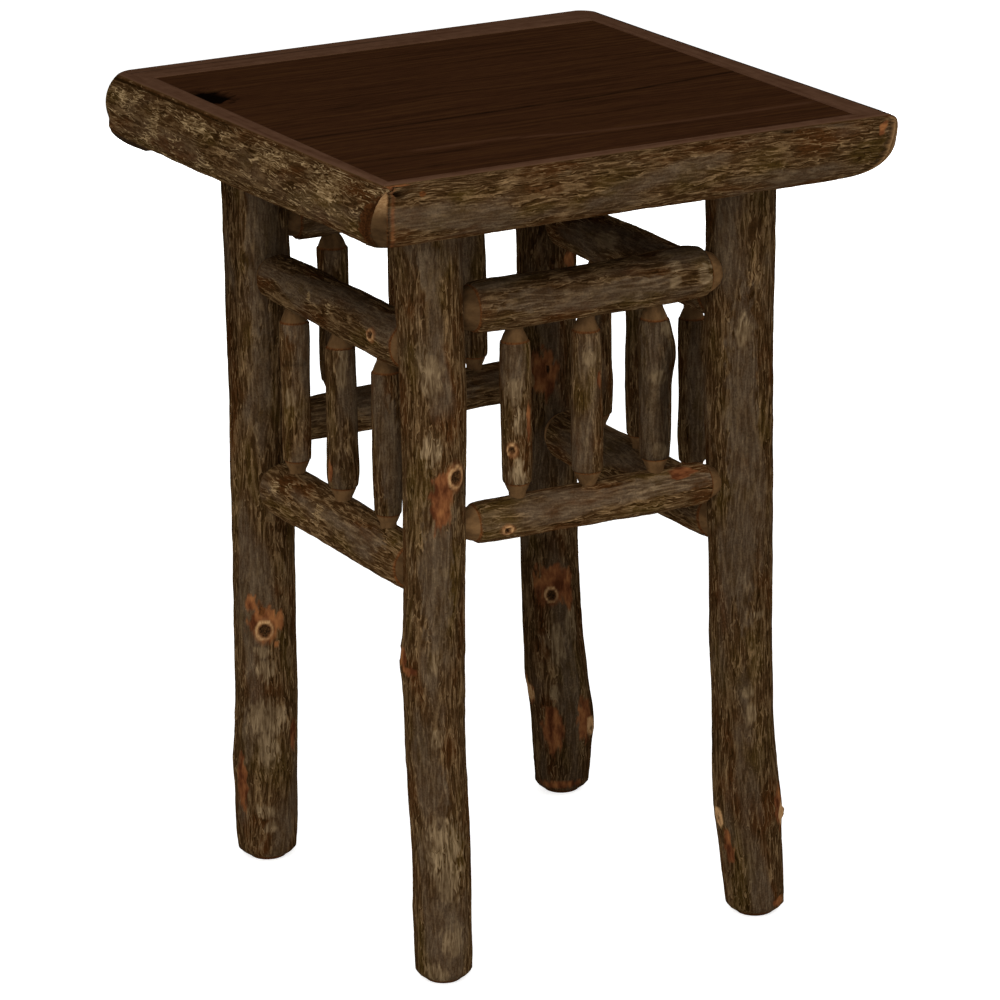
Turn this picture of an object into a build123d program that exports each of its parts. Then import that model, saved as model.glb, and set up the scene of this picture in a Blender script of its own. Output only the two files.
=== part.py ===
from build123d import *
import os

# A square-topped rustic table of hickory poles with the bark left on.
# Millimetres, +Z up. X runs across the front, the front faces -Y, the floor is z = 0.
# Everything is laid out from the middle of the top panel and shifted once, at the end,
# so that the origin lies on the floor under the middle of the whole table.

# ---- driving sizes -------------------------------------------------------------------
table_height = 635.0            # floor to the planed top
panel_side = 387.0              # the glued-up panel is square
panel_thickness = 22.0
board_width = 88.0              # full boards of the panel; the two outer ones are ripped narrower

cleat_width = 64.0              # battens across the boards, over the legs
cleat_thickness = 19.0
cleat_end_gap = 0.5             # short of the edge logs

leg_spread_x = 262.0            # leg centre to leg centre, as laid out
leg_spread_y = 297.0
leg_frame_shift = (-4.0, 2.0)   # the leg frame stands a little off the middle of the panel
foot_ease = 5.0                 # rounding of the sawn foot: inwards
foot_ease_height = 8.0          # and upwards
leg_tenon_diameter = 25.4

end_rail_drop = 74.0            # from the legs' shoulders down to the upper rails of front and back
end_rail_gap = 164.0            # from there down to their lower rails, centre to centre
side_rail_upper_step = 31.0     # the side rails sit lower, so that their tenons miss the end rails'
side_rail_lower_step = 40.0
rail_stand_off = 8.5            # from the leg's bark to the rim of the rail's bark
rail_shoulder = 12.0            # length of the cut cone between bark and tenon
rail_tenon_diameter = 22.0
rail_tenon_length = 28.0

end_spindle_spacing = 60.0      # spindles of the front and the back, centre to centre
side_spindle_spacing = 77.0
spindle_shoulder = 10.0
spindle_tenon_diameter = 12.7
spindle_tenon_length = 14.0

corner_ease = {                 # plan radius of each sanded corner of the edging, by its direction
    (-1, -1, 0): 13.0,
    (1, -1, 0): 20.0,
    (1, 1, 0): 20.0,
    (-1, 1, 0): 32.0,
}
dowel_diameter = 8.0
dowel_length = 36.0
dowel_spacing = 120.0

screw_diameter = 4.2
screw_length = 32.0
screw_head_diameter = 8.4
screw_head_height = 2.6
screw_point = 4.0
screw_edge_distance = 9.0       # from the cleat's long edge

joint_clearance = 0.1           # round every tenon, dowel and screw
end_clearance = 0.5             # beyond the end of every tenon, dowel and screw

# ---- how each pole grew ----------------------------------------------------------------
# Legs: place off the laid-out corner, then stations of (share of the length, drift x,
# drift y, diameter) from the foot up.
legs = {
    "leg_front_left": ((-1.0, 0.5), [
        (0.00, -1.0, -1.0, 44.0), (0.14, -0.5, 0.5, 43.5), (0.26, -2.0, 1.5, 45.0),
        (0.40, -3.5, 2.0, 46.0), (0.55, -1.5, 0.5, 46.0), (0.76, 0.5, 0.0, 48.0),
        (1.00, -3.5, 1.5, 50.5)]),
    "leg_back_left": ((1.0, -6.0), [
        (0.00, -6.5, 2.0, 45.0), (0.06, -5.5, 3.0, 48.0), (0.17, -4.5, 2.5, 49.5),
        (0.33, -3.0, 1.5, 50.0), (0.45, -3.0, 0.5, 49.0), (0.64, 0.0, 0.0, 53.0),
        (0.80, -0.5, 0.5, 51.5), (1.00, -3.0, 1.5, 50.0)]),
    "leg_front_right": ((-2.5, -1.5), [
        (0.00, 10.0, -5.5, 45.5), (0.08, 7.5, -4.0, 48.0), (0.16, 4.0, -1.5, 52.5),
        (0.23, 2.0, -1.0, 48.5), (0.39, 0.0, 0.0, 47.5), (0.75, 0.0, 0.0, 48.5),
        (1.00, 1.0, 0.5, 53.0)]),
    "leg_back_right": ((1.5, 7.5), [
        (0.00, 6.5, -3.5, 45.0), (0.05, 7.0, -3.5, 47.0), (0.10, 7.5, -4.5, 51.5),
        (0.15, 5.5, -3.5, 51.0), (0.22, 1.5, -1.0, 50.0), (0.36, -0.5, 0.5, 47.0),
        (0.66, 0.0, 0.0, 47.5), (1.00, 0.5, 0.0, 50.0)]),
}

# Rails: the legs they join, level, own offset in height, then stations of (share of the
# bark length, sideways, up, diameter).
rails = {
    "upper_rail_front": ("leg_front_left", "leg_front_right", "end_upper", -1.5, [
        (0.0, 0.0, 0.0, 37.5), (0.1, 0.0, 0.0, 39.0), (0.5, 0.0, -0.5, 39.0),
        (0.7, 0.0, 0.0, 39.5), (0.93, 0.0, 1.5, 42.0), (1.0, 0.0, 0.0, 37.0)]),
    "lower_rail_front": ("leg_front_left", "leg_front_right", "end_lower", -1.5, [
        (0.0, 0.0, 0.0, 30.5), (0.1, 0.0, 0.0, 32.0), (0.5, 0.0, -0.5, 32.5),
        (0.9, 0.0, 0.0, 33.0), (1.0, 0.0, 0.0, 31.5)]),
    "upper_rail_back": ("leg_back_left", "leg_back_right", "end_upper", 2.0, [
        (0.0, 0.0, 0.0, 34.0), (0.1, 0.0, 0.0, 36.0), (0.6, 0.5, 0.5, 36.5), (1.0, 0.0, 0.0, 34.0)]),
    "lower_rail_back": ("leg_back_left", "leg_back_right", "end_lower", 2.0, [
        (0.0, 0.0, 0.0, 33.0), (0.1, 0.0, 0.0, 35.0), (0.5, -0.5, -0.5, 35.0), (1.0, 0.0, 0.0, 33.0)]),
    "upper_rail_left": ("leg_front_left", "leg_back_left", "side_upper", -1.5, [
        (0.0, 0.0, 0.0, 38.0), (0.12, 0.0, 0.0, 41.0), (0.3, 0.0, 0.0, 39.0),
        (0.8, 0.0, 0.5, 38.5), (1.0, 0.0, 0.0, 36.5)]),
    "lower_rail_left": ("leg_front_left", "leg_back_left", "side_lower", 1.5, [
        (0.0, 0.0, 0.0, 37.0), (0.15, 0.0, 0.0, 39.5), (0.45, 0.0, 0.5, 40.0),
        (0.75, 0.0, 0.5, 41.5), (1.0, 0.0, 0.0, 41.0)]),
    "upper_rail_right": ("leg_front_right", "leg_back_right", "side_upper", 2.0, [
        (0.0, 0.0, 0.0, 38.0), (0.1, 0.0, 0.0, 40.0), (0.6, 0.5, 0.0, 41.0), (1.0, 0.0, 0.0, 38.0)]),
    "lower_rail_right": ("leg_front_right", "leg_back_right", "side_lower", -1.0, [
        (0.0, 0.0, 0.0, 41.0), (0.1, 0.0, 0.0, 43.5), (0.5, -0.5, 0.0, 43.0), (1.0, 0.0, 0.0, 42.0)]),
}

# Spindles: the lower and upper rail they stand between, counted from the rail's start,
# own offset along it, then stations as for the rails.
spindles = {
    "spindle_front_1": ("lower_rail_front", "upper_rail_front", -1, -1.0, [
        (0.0, 0.0, 0.0, 21.5), (0.12, 0.0, 0.0, 23.0), (0.85, 0.0, 0.0, 23.5), (1.0, -0.5, 0.0, 22.5)]),
    "spindle_front_2": ("lower_rail_front", "upper_rail_front", 0, -1.5, [
        (0.0, 0.0, 0.0, 23.5), (0.5, 0.0, 0.0, 23.0), (1.0, 0.0, 0.0, 22.0)]),
    "spindle_front_3": ("lower_rail_front", "upper_rail_front", 1, -3.5, [
        (0.0, 0.0, 0.0, 22.0), (0.15, 0.5, 0.0, 24.5), (0.4, 0.5, 0.0, 24.0), (0.55, 0.5, 0.0, 24.5),
        (0.75, 2.5, 0.0, 29.5), (0.9, 1.0, 0.0, 26.0), (1.0, 0.0, 0.0, 22.5)]),
    "spindle_left_1": ("lower_rail_left", "upper_rail_left", 1, 6.5, [
        (0.0, 0.0, 0.0, 22.0), (0.15, 0.5, 0.0, 23.0), (0.6, -0.5, 0.0, 22.5), (1.0, 0.0, 0.0, 23.0)]),
    "spindle_left_2": ("lower_rail_left", "upper_rail_left", 0, 4.0, [
        (0.0, 0.0, 0.0, 22.5), (0.1, 0.0, 0.0, 26.0), (0.25, 0.0, 0.0, 24.0), (1.0, 0.0, 0.0, 23.0)]),
    "spindle_left_3": ("lower_rail_left", "upper_rail_left", -1, 6.5, [
        (0.0, 0.0, 0.0, 21.0), (0.4, 0.0, 0.0, 23.0), (1.0, 0.0, 0.0, 22.5)]),
    "spindle_back_1": ("lower_rail_back", "upper_rail_back", -1, -5.5, [
        (0.0, 0.0, 0.0, 23.5), (0.1, 0.0, 0.0, 25.5), (1.0, 0.0, 0.0, 25.0)]),
    "spindle_back_2": ("lower_rail_back", "upper_rail_back", 0, -2.0, [
        (0.0, 0.0, 0.0, 22.0), (0.5, 0.5, 0.0, 24.0), (1.0, 0.0, 0.0, 23.0)]),
    "spindle_back_3": ("lower_rail_back", "upper_rail_back", 1, 1.5, [
        (0.0, 0.0, 0.0, 21.5), (0.1, 0.0, 0.0, 22.5), (1.0, 0.0, 0.0, 22.0)]),
    "spindle_right_1": ("lower_rail_right", "upper_rail_right", 1, -8.0, [
        (0.0, 0.0, 0.0, 22.0), (0.2, 0.0, 0.0, 24.0), (1.0, 0.0, 0.0, 23.0)]),
    "spindle_right_2": ("lower_rail_right", "upper_rail_right", 0, 1.5, [
        (0.0, 0.0, 0.0, 21.0), (0.2, 0.5, 0.0, 22.5), (1.0, 0.0, 0.0, 22.0)]),
    "spindle_right_3": ("lower_rail_right", "upper_rail_right", -1, -3.0, [
        (0.0, 0.0, 0.0, 20.5), (0.3, 0.0, 0.0, 22.0), (1.0, 0.0, 0.0, 21.5)]),
}

# Edge logs, a quarter turn from one to the next: radius of the pole, how far its heart lies
# outside the panel's edge, and how far below the planed top.
edge_logs = {
    "edge_log_front": (27.0, 5.5, 18.5),
    "edge_log_right": (25.0, 0.0, 18.0),
    "edge_log_back": (40.0, 7.5, 19.0),
    "edge_log_left": (28.0, 3.5, 25.0),
}

# ---- worked out -----------------------------------------------------------------------
panel_half = panel_side / 2
panel_underside = table_height - panel_thickness
leg_shoulder_height = panel_underside - cleat_thickness
rail_levels = {"end_upper": leg_shoulder_height - end_rail_drop}
rail_levels["end_lower"] = rail_levels["end_upper"] - end_rail_gap
rail_levels["side_upper"] = rail_levels["end_upper"] - side_rail_upper_step
rail_levels["side_lower"] = rail_levels["end_lower"] - side_rail_lower_step
reaches = [panel_half + offset + radius for radius, offset, _ in edge_logs.values()]
reach_front, reach_right, reach_back, reach_left = reaches
whole_shift = Pos((reach_left - reach_right) / 2, (reach_front - reach_back) / 2, 0)
rail_ends = (rail_shoulder, rail_tenon_diameter, rail_tenon_length)
spindle_ends = (spindle_shoulder, spindle_tenon_diameter, spindle_tenon_length)
UPRIGHT = (Align.CENTER, Align.CENTER, Align.MIN)


def between(stations, share):
    """The station at a share of the length, on straight lines between the given ones."""
    for low, high in zip(stations, stations[1:]):
        if share <= high[0]:
            t = (share - low[0]) / (high[0] - low[0])
            return [a + (b - a) * t for a, b in zip(low[1:], high[1:])]
    return list(stations[-1][1:])


def pole(stations, length):
    """A grown stem standing on the origin: round sections joined by straight-sided skins."""
    rings = [Pos(dx, dy, share * length) * Circle(diameter / 2) for share, dx, dy, diameter in stations]
    return loft(rings, ruled=True)


def stem_end(rim_diameter, shoulder, tenon_diameter, tenon_length, grow=0.0, deeper=0.0):
    """The cut cone and round tenon at one end of a pole, pointing up from the bark's rim."""
    cone = Cone(rim_diameter / 2 + grow, tenon_diameter / 2 + grow, shoulder, align=UPRIGHT)
    tenon = Cylinder(tenon_diameter / 2 + grow, tenon_length + deeper, align=UPRIGHT)
    return cone + Pos(0, 0, shoulder) * tenon


def tenoned_pole(stations, length, shoulder, tenon_diameter, tenon_length):
    """A rail or spindle along +Z: bark from 0 to its length, a cone and a tenon at both ends."""
    top = stem_end(stations[-1][-1], shoulder, tenon_diameter, tenon_length)
    bottom = stem_end(stations[0][-1], shoulder, tenon_diameter, tenon_length)
    first, last = stations[0], stations[-1]
    body = pole(stations, length)
    body += Pos(last[1], last[2], length) * top
    body += Pos(first[1], first[2], 0) * Rot(180, 0, 0) * bottom
    return body


def sockets(place, stations, length, shoulder, tenon_diameter, tenon_length):
    """What the two ends of a pole take out of the pieces they go into."""
    sizes = (shoulder, tenon_diameter, tenon_length, joint_clearance, end_clearance)
    first, last = stations[0], stations[-1]
    bottom = Pos(first[1], first[2], 0) * Rot(180, 0, 0) * stem_end(first[-1], *sizes)
    top = Pos(last[1], last[2], length) * stem_end(last[-1], *sizes)
    return place * bottom, place * top


# ---- legs -----------------------------------------------------------------------------
def leg_station(name, height):
    """Centre and diameter of a leg at a height above the floor."""
    (off_x, off_y), stations = legs[name]
    side_x = 1 if name.endswith("right") else -1
    side_y = 1 if "back" in name else -1
    dx, dy, diameter = between(stations, height / leg_shoulder_height)
    x = leg_frame_shift[0] + side_x * leg_spread_x / 2 + off_x + dx
    y = leg_frame_shift[1] + side_y * leg_spread_y / 2 + off_y + dy
    return Vector(x, y, height), diameter


def leg_tenon(name, grow=0.0, deeper=0.0):
    """The round tenon on top of a leg, through the cleat above it."""
    centre, _ = leg_station(name, leg_shoulder_height)
    length = cleat_thickness - end_clearance + deeper
    return Pos(centre) * Cylinder(leg_tenon_diameter / 2 + grow, length, align=UPRIGHT)


def leg(name):
    """A leg: sawn foot with an eased edge, natural stem, round tenon at the top."""
    rings = []
    for share, _, _, _ in legs[name][1]:
        height = foot_ease_height + share * (leg_shoulder_height - foot_ease_height)
        centre, diameter = leg_station(name, height)
        rings.append(Pos(centre) * Circle(diameter / 2))
    foot_centre, foot_diameter = leg_station(name, foot_ease_height)
    foot = Cone(foot_diameter / 2 - foot_ease, foot_diameter / 2, foot_ease_height, align=UPRIGHT)
    ground = Vector(foot_centre.X, foot_centre.Y, 0)
    return loft(rings, ruled=True) + Pos(ground) * foot + leg_tenon(name)


# ---- rails ----------------------------------------------------------------------------
def rail_place(name):
    """Where a rail's bark starts, which way it runs, and how long the bark is."""
    start_leg, end_leg, level, own_offset, _ = rails[name]
    height = rail_levels[level] + own_offset
    a, a_diameter = leg_station(start_leg, height)
    b, b_diameter = leg_station(end_leg, height)
    run = b - a
    start = a + run.normalized() * (a_diameter / 2 + rail_stand_off)
    length = run.length - a_diameter / 2 - b_diameter / 2 - 2 * rail_stand_off
    sideways = run.normalized().cross(Vector(0, 0, 1)) * -1
    return Plane(origin=start, x_dir=sideways, z_dir=run), length


def rail_point(name, along_from_middle):
    """A point on a rail's axis and the diameter there, measured along from its middle."""
    place, length = rail_place(name)
    share = 0.5 + along_from_middle / length
    side, up, diameter = between(rails[name][-1], share)
    return place.from_local_coords(Vector(side, up, share * length)), diameter


# ---- spindles -------------------------------------------------------------------------
def spindle_place(name):
    """A spindle stands from the lower rail's bark to the upper rail's bark."""
    lower, upper, count, own_offset, _ = spindles[name]
    on_end = lower.endswith("front") or lower.endswith("back")
    along = count * (end_spindle_spacing if on_end else side_spindle_spacing) + own_offset
    low, low_diameter = rail_point(lower, along)
    high, high_diameter = rail_point(upper, along)
    axis = (high - low).normalized()
    start = low + axis * (low_diameter / 2 + spindle_shoulder)
    end = high - axis * (high_diameter / 2 + spindle_shoulder)
    place, _ = rail_place(lower)
    return Plane(origin=start, x_dir=place.z_dir, z_dir=axis), (end - start).length


# ---- top ------------------------------------------------------------------------------
def turned(quarter):
    """A quarter turn about the middle of the panel, for what is made on the front side."""
    return Rot(0, 0, 90 * quarter)


def eased_outline():
    """The whole table from above, with its four corners sanded round, as deep as it is high."""
    plan = Rectangle(reach_left + reach_right, reach_front + reach_back)
    for direction, radius in corner_ease.items():
        corner = plan.vertices().sort_by(Axis((0, 0, 0), direction))[-1]
        plan = fillet(corner, radius)
    middle = Pos((reach_right - reach_left) / 2, (reach_back - reach_front) / 2, 0)
    return middle * extrude(plan, table_height)


def edge_log(name):
    """Half a pole along the panel's edge: planed on top, mitred, its corners sanded round."""
    radius, offset, drop = edge_logs[name]
    quarter = list(edge_logs).index(name)
    far = panel_half + 4 * radius
    outline = Polyline((-panel_half, -panel_half), (panel_half, -panel_half),
                       (far, -far), (-far, -far), close=True)
    mitred = Pos(0, 0, table_height - drop - radius) * extrude(make_face(outline), drop + radius)
    heart = Pos(0, -panel_half - offset, table_height - drop) * Rot(0, 90, 0)
    return turned(quarter) * (heart * Cylinder(radius, 2 * far) & mitred) & eased_outline()


def dowels(grow=0.0, deeper=0.0):
    """Dowels half in the panel's edge and half in the edge log, three to a side."""
    rod = Rot(90, 0, 0) * Cylinder(dowel_diameter / 2 + grow, dowel_length + 2 * deeper)
    height = panel_underside + panel_thickness / 2
    return [turned(k) * Pos(i * dowel_spacing, -panel_half, height) * rod
            for k in range(4) for i in (-1, 0, 1)]


def board_edges():
    """The seams of the panel from front to back: full boards in the middle."""
    full = board_width / 2
    return [-panel_half, -full - board_width, -full, full, full + board_width, panel_half]


def board(low, high):
    box = Box(panel_side, high - low, panel_thickness, align=(Align.CENTER, Align.MIN, Align.MIN))
    return Pos(0, low, panel_underside) * box


def cleat_middle(side):
    """A cleat runs over the tenons of the two legs on its side."""
    names = [n for n in legs if n.endswith(side)]
    tops = [leg_station(n, leg_shoulder_height)[0].X for n in names]
    return sum(tops) / len(tops)


def cleat(side):
    size = panel_side - 2 * cleat_end_gap
    box = Box(cleat_width, size, cleat_thickness, align=UPRIGHT)
    return Pos(cleat_middle(side), 0, leg_shoulder_height) * box


def screw(grow=0.0, deeper=0.0):
    """A countersunk wood screw, driven upwards, its head flush with the cleat."""
    radius = screw_diameter / 2 + grow
    head = Cone(screw_head_diameter / 2 + grow, radius, screw_head_height, align=UPRIGHT)
    shank = Cylinder(radius, screw_length - screw_point + deeper, align=UPRIGHT)
    point = Cone(radius, radius / 4, screw_point, align=UPRIGHT)
    return head + shank + Pos(0, 0, screw_length - screw_point + deeper) * point


def screw_places():
    """One screw through each cleat into each board, on alternate sides of the leg line."""
    edges = board_edges()
    middles = [(a + b) / 2 for a, b in zip(edges, edges[1:])]
    step = cleat_width / 2 - screw_edge_distance
    return [Pos(cleat_middle(side) + inward * (1 if i % 2 == 0 else -1) * step, y, leg_shoulder_height)
            for side, inward in (("left", 1), ("right", -1)) for i, y in enumerate(middles)]


# ---- assembly -------------------------------------------------------------------------
parts = {name: leg(name) for name in legs}
for table, find_place, end_sizes in ((rails, rail_place, rail_ends), (spindles, spindle_place, spindle_ends)):
    for name, (first_piece, second_piece, _, _, stations) in table.items():
        place, length = find_place(name)
        parts[name] = place.location * tenoned_pole(stations, length, *end_sizes)
        first_cut, second_cut = sockets(place.location, stations, length, *end_sizes)
        parts[first_piece] -= first_cut
        parts[second_piece] -= second_cut

dowel_holes = dowels(joint_clearance, end_clearance)
screw_holes = [place * screw(joint_clearance, end_clearance) for place in screw_places()]
for name in edge_logs:
    parts[name] = edge_log(name) - dowel_holes
edges = board_edges()
for number, (low, high) in enumerate(zip(edges, edges[1:]), start=1):
    parts[f"top_board_{number}"] = board(low, high) - dowel_holes - screw_holes
for side in ("left", "right"):
    tenon_holes = [leg_tenon(n, joint_clearance, end_clearance) for n in legs if n.endswith(side)]
    parts[f"cleat_{side}"] = cleat(side) - tenon_holes - screw_holes
parts["edge_dowels"] = Compound(dowels())
parts["cleat_screws"] = Compound([place * screw() for place in screw_places()])

os.makedirs("parts", exist_ok=True)
for name, solid in parts.items():
    export_step(whole_shift * solid, f"parts/{name}.step")
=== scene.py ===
"""A rustic side table: hickory poles with the bark left on, under a stained plank top.

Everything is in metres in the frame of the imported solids, +Z up, the front facing -Y.
Sizes are written in millimetres and turned to metres where a mesh is finished.
"""

import math

import bmesh
import bpy
import numpy as np
from mathutils import Matrix, Vector


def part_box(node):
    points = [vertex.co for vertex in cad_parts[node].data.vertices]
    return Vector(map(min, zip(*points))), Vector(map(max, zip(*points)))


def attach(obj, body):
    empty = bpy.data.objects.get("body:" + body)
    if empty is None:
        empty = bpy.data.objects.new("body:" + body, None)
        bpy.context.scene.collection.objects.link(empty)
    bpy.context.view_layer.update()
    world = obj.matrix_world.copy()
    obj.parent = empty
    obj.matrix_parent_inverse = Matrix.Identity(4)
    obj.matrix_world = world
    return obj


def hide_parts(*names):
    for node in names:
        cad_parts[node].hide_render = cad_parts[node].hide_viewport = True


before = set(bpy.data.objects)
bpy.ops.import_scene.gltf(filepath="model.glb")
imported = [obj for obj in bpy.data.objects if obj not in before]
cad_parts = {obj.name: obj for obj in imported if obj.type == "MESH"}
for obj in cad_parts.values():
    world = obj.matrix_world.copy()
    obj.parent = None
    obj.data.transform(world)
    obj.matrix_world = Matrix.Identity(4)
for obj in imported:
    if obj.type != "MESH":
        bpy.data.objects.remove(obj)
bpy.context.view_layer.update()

# ---- camera, floor and light -------------------------------------------------------------
# A product studio: a long lens a little above the table top, a white paper floor, and soft
# light from large screens in front, at the right and behind, and from all round.
MM = 0.001
view_azimuth = math.radians(-28.5)
view_elevation = math.radians(17.7)
view_roll = math.radians(-0.87)
view_distance = 3815.0
view_aside = -2.5                  # the lens points this far beside and below the middle
view_below = -2.3
panel_middle = Vector((3.25, -7.5, 317.5))
sensor_width = 36.0
lens_length = 177.6
clip_distance = 100.0
floor_half = 6000.0
screen_distance = 2600.0
screen_width = 1500.0
paper_glow = 0.7                   # what the lens sees is brighter than the light it gives
backdrop_light = 1.0
ambient_light = 0.42
screens = {                        # azimuth and elevation in degrees, power in watts
    "front_screen": (-42, 30, 30),
    "right_screen": (55, 40, 12),
    "back_screen": (151.5, 4, 22),
}


def linear(code):
    """A colour written as sRGB hex, as the linear values that Blender shades with."""
    parts = [int(code[i:i + 2], 16) / 255 for i in (1, 3, 5)]
    return [c / 12.92 if c <= 0.04045 else ((c + 0.055) / 1.055) ** 2.4 for c in parts] + [1.0]


def add(tree, kind, inputs=None, **settings):
    """Adds a node with its settings, and links or sets its inputs."""
    node = tree.nodes.new(kind)
    for name, value in settings.items():
        setattr(node, name, value)
    for socket, value in (inputs or {}).items():
        if isinstance(value, bpy.types.NodeSocket):
            tree.links.new(value, node.inputs[socket])
        else:
            node.inputs[socket].default_value = value
    return node


def new_material(name):
    """An empty node material: its tree and its output node."""
    made = bpy.data.materials.new(name)
    made.use_nodes = True
    made.node_tree.nodes.clear()
    return made, made.node_tree, made.node_tree.nodes.new("ShaderNodeOutputMaterial")


def by_lens(tree, kind, unseen, seen):
    """White light of one strength for what the lens sees, straight, mirrored or through glass,
    and of another strength for all else."""
    rays = add(tree, "ShaderNodeLightPath").outputs
    share = rays["Is Camera Ray"]
    for other in ("Is Glossy Ray", "Is Transmission Ray"):
        share = add(tree, "ShaderNodeMath", {0: share, 1: rays[other]}, operation="MAXIMUM").outputs[0]
    lights = [add(tree, kind, {"Color": linear("#ffffff"), "Strength": s}).outputs[0] for s in (unseen, seen)]
    return add(tree, "ShaderNodeMixShader", {0: share, 1: lights[0], 2: lights[1]}).outputs[0]


def grid_mesh(name, columns, rows, half_size=0.5):
    """A flat square sheet of mesh round the origin."""
    bm = bmesh.new()
    bmesh.ops.create_grid(bm, x_segments=columns, y_segments=rows, size=half_size)
    mesh = bpy.data.meshes.new(name)
    bm.to_mesh(mesh)
    bm.free()
    return mesh


def show(name, data):
    """A new object of the scene with this data."""
    shown = bpy.data.objects.new(name, data)
    bpy.context.scene.collection.objects.link(shown)
    return shown


def direction(azimuth, elevation):
    """The way from the table towards this azimuth, counted from the front to the right."""
    level = math.cos(elevation)
    return Vector((math.sin(azimuth) * level, -math.cos(azimuth) * level, math.sin(elevation)))


towards_camera = direction(view_azimuth, view_elevation)
level_right = Vector((math.cos(view_azimuth), math.sin(view_azimuth), 0))
level_up = towards_camera.cross(level_right)
camera_right = math.cos(view_roll) * level_right + math.sin(view_roll) * level_up
camera_up = math.cos(view_roll) * level_up - math.sin(view_roll) * level_right
camera_data = bpy.data.cameras.new("camera")
camera_data.sensor_width = sensor_width
camera_data.lens = lens_length
camera_data.clip_end = clip_distance
camera = show("camera", camera_data)
turn = Matrix((camera_right, camera_up, towards_camera)).transposed()
aim = panel_middle + view_aside * level_right + view_below * level_up
camera.matrix_world = Matrix.Translation((aim + towards_camera * view_distance) * MM) @ turn.to_4x4()
bpy.context.scene.camera = camera
bpy.context.scene.view_settings.view_transform = "Standard"

# Matt white paper, so bright behind the table that it has no edge and hardly a shadow.
paper, tree, output = new_material("white_seamless_paper_matt")
lit_paper = add(tree, "ShaderNodeBsdfDiffuse", {"Color": linear("#f4f4f2")}).outputs[0]
glow = by_lens(tree, "ShaderNodeEmission", 0.0, paper_glow)
both = add(tree, "ShaderNodeAddShader", {0: lit_paper, 1: glow})
tree.links.new(both.outputs[0], output.inputs["Surface"])

floor = show("floor", grid_mesh("floor", 1, 1, floor_half * MM))
floor.data.materials.append(paper)

world = bpy.data.worlds.new("studio")
world.use_nodes = True
bpy.context.scene.world = world
tree = world.node_tree
tree.nodes.clear()
output = tree.nodes.new("ShaderNodeOutputWorld")
backdrop = by_lens(tree, "ShaderNodeBackground", ambient_light, backdrop_light)
tree.links.new(backdrop, output.inputs["Surface"])

for name, (azimuth, elevation, power) in screens.items():
    way = direction(math.radians(azimuth), math.radians(elevation))
    lamp = bpy.data.lights.new(name, "AREA")
    lamp.shape = "SQUARE"
    lamp.size = screen_width * MM
    lamp.energy = power
    facing = way.to_track_quat("Z", "Y").to_matrix().to_4x4()
    show(name, lamp).matrix_world = Matrix.Translation((panel_middle + way * screen_distance) * MM) @ facing

# ---- hickory bark ------------------------------------------------------------------------
# Young hickory, cut in winter so that the bark stays on, dried and brushed with clear lacquer.
# Fine interlaced ridges run along the pole, paler on their crests, with smooth grey patches,
# lichen, knots, and orange inner bark where the outer bark has flaked off. The grey is partly
# weathering and partly a painted sheen, greyest on the side that faces the camera and the side
# opposite; each pole's brightness is partly painted light and shade.
column_width = 0.62                # mesh spacing round and along the poles
row_length = 2.2
ridge_width = 6.0                  # cells of the net that the ridges make: wide round the pole,
ridge_run = 58.0                   # and long along it
small_ridge_width = 3.8
small_ridge_run = 30.0
fibre_width = 1.9
fibre_run = 9.0
plain_height = 0.44                # of bark that is neither crest nor furrow, from 0 to 1
ridge_depth = 0.65
flake_depth = 0.9                  # bark missing where the inner bark shows
swell_share = 0.18                 # height of a swelling, as a share of its width
knot_depth, knot_collar = 2.4, 1.5
hole_depth = 2.6
painted_sheen_sides = (160.0, -56.0, -118.0)   # bearing of the side of poles along x, y and z that faces the camera, greyer there and on the side opposite with a painted sheen
masks = ("ridge", "bare", "lichen", "eye", "callus_and_highlight", "worn_and_sheen", "cut", "rim", "tint", "tone", "gold", "burnt")
clear_matt = {"IOR": 1.45, "Specular IOR Level": 0.0}    # thin lacquer, rubbed down to no shine
burnt_brown = "#150c07"


def ripple(around, along, girth, cell, run, seed):
    """Smooth random relief, about -1 to 1, whose cells are this wide round the pole and so
    long along it. It closes on itself round the girth."""
    columns = max(3, round(girth / cell))
    x = around / girth * columns
    y = along / run
    column, row = np.floor(x).astype(int), np.floor(y).astype(int)
    x, y = x - column, y - row
    slopes = np.random.default_rng(seed).uniform(-1, 1, (257, columns, 2))
    fade_x, fade_y = (t * t * t * (t * (t * 6 - 15) + 10) for t in (x, y))
    total = 0
    for i in (0, 1):
        for j in (0, 1):
            slope = slopes[(row + j) % len(slopes), (column + i) % columns]
            weight = (fade_x if i else 1 - fade_x) * (fade_y if j else 1 - fade_y)
            total = total + weight * (slope[..., 0] * (x - i) + slope[..., 1] * (y - j))
    return total * 1.9


def soft_step(value, low, high):
    """0 below a low value, 1 above a high one, and eased between them."""
    t = np.clip((value - low) / (high - low), 0, 1)
    return t * t * (3 - 2 * t)


def line(value, width):
    """1 where a value crosses zero, falling off to both sides."""
    return np.exp(-(value / width) ** 2)


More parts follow.
